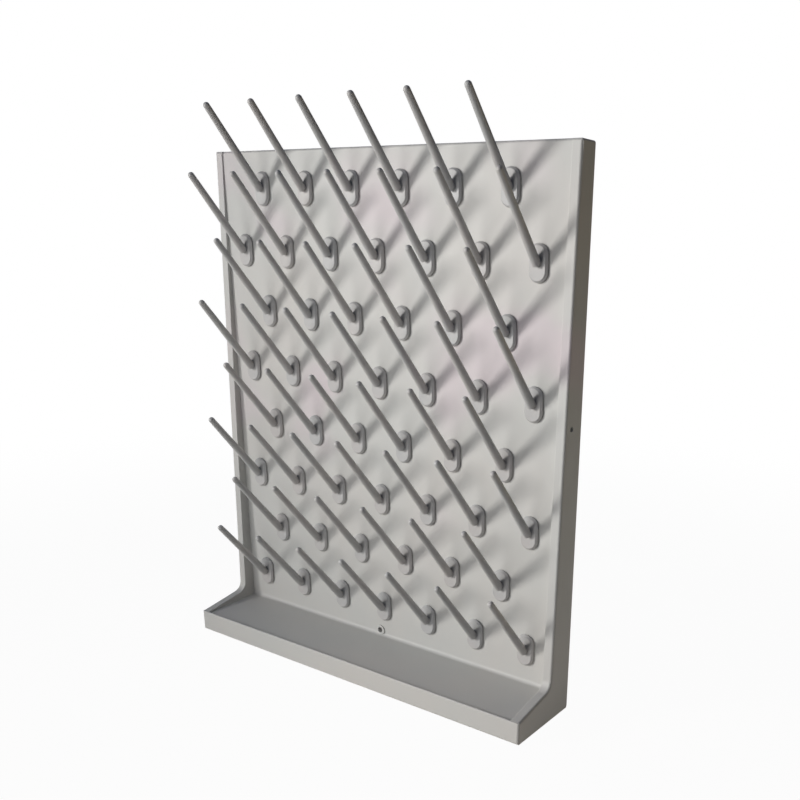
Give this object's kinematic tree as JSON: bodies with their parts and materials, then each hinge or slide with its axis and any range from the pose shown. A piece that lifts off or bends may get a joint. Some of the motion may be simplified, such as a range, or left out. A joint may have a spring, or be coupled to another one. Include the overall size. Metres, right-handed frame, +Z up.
{
  "type": "laboratory drying rack",
  "caption": "Upright moulded pegboard rack for drying laboratory glassware, with staggered rows of slanting push-in pegs over a shallow drip tray with a drain hole.",
  "frame": {"origin": "on the base, in the middle of the width and of the depth", "axes": "+Z up, +Y towards the wall or the back, +X to the right seen from the front"},
  "size_m": [0.55, 0.11, 0.694],
  "materials": {
    "board_plastic": "light warm grey moulded plastic, smooth with a low satin sheen",
    "peg_plastic": "light grey moulded plastic, smooth with a low satin sheen"
  },
  "bodies": {
    "root": {"board": "board_plastic", "peg_r1_c1": "peg_plastic", "peg_r1_c2": "peg_plastic", "peg_r1_c3": "peg_plastic", "peg_r1_c4": "peg_plastic", "peg_r1_c5": "peg_plastic", "peg_r1_c6": "peg_plastic", "peg_r2_c1": "peg_plastic", "peg_r2_c2": "peg_plastic", "peg_r2_c3": "peg_plastic", "peg_r2_c4": "peg_plastic", "peg_r2_c5": "peg_plastic", "peg_r2_c6": "peg_plastic", "peg_r2_c7": "peg_plastic", "peg_r3_c1": "peg_plastic", "peg_r3_c2": "peg_plastic", "peg_r3_c3": "peg_plastic", "peg_r3_c4": "peg_plastic", "peg_r3_c5": "peg_plastic", "peg_r3_c6": "peg_plastic", "peg_r4_c1": "peg_plastic", "peg_r4_c2": "peg_plastic", "peg_r4_c3": "peg_plastic", "peg_r4_c4": "peg_plastic", "peg_r4_c5": "peg_plastic", "peg_r4_c6": "peg_plastic", "peg_r4_c7": "peg_plastic", "peg_r5_c1": "peg_plastic", "peg_r5_c2": "peg_plastic", "peg_r5_c3": "peg_plastic", "peg_r5_c4": "peg_plastic", "peg_r5_c5": "peg_plastic", "peg_r5_c6": "peg_plastic", "peg_r6_c1": "peg_plastic", "peg_r6_c2": "peg_plastic", "peg_r6_c3": "peg_plastic", "peg_r6_c4": "peg_plastic", "peg_r6_c5": "peg_plastic", "peg_r6_c6": "peg_plastic", "peg_r6_c7": "peg_plastic", "peg_r7_c1": "peg_plastic", "peg_r7_c2": "peg_plastic", "peg_r7_c3": "peg_plastic", "peg_r7_c4": "peg_plastic", "peg_r7_c5": "peg_plastic", "peg_r7_c6": "peg_plastic", "peg_r8_c1": "peg_plastic", "peg_r8_c2": "peg_plastic", "peg_r8_c3": "peg_plastic", "peg_r8_c4": "peg_plastic", "peg_r8_c5": "peg_plastic", "peg_r8_c6": "peg_plastic", "peg_r8_c7": "peg_plastic"}
  },
  "joints": []
}
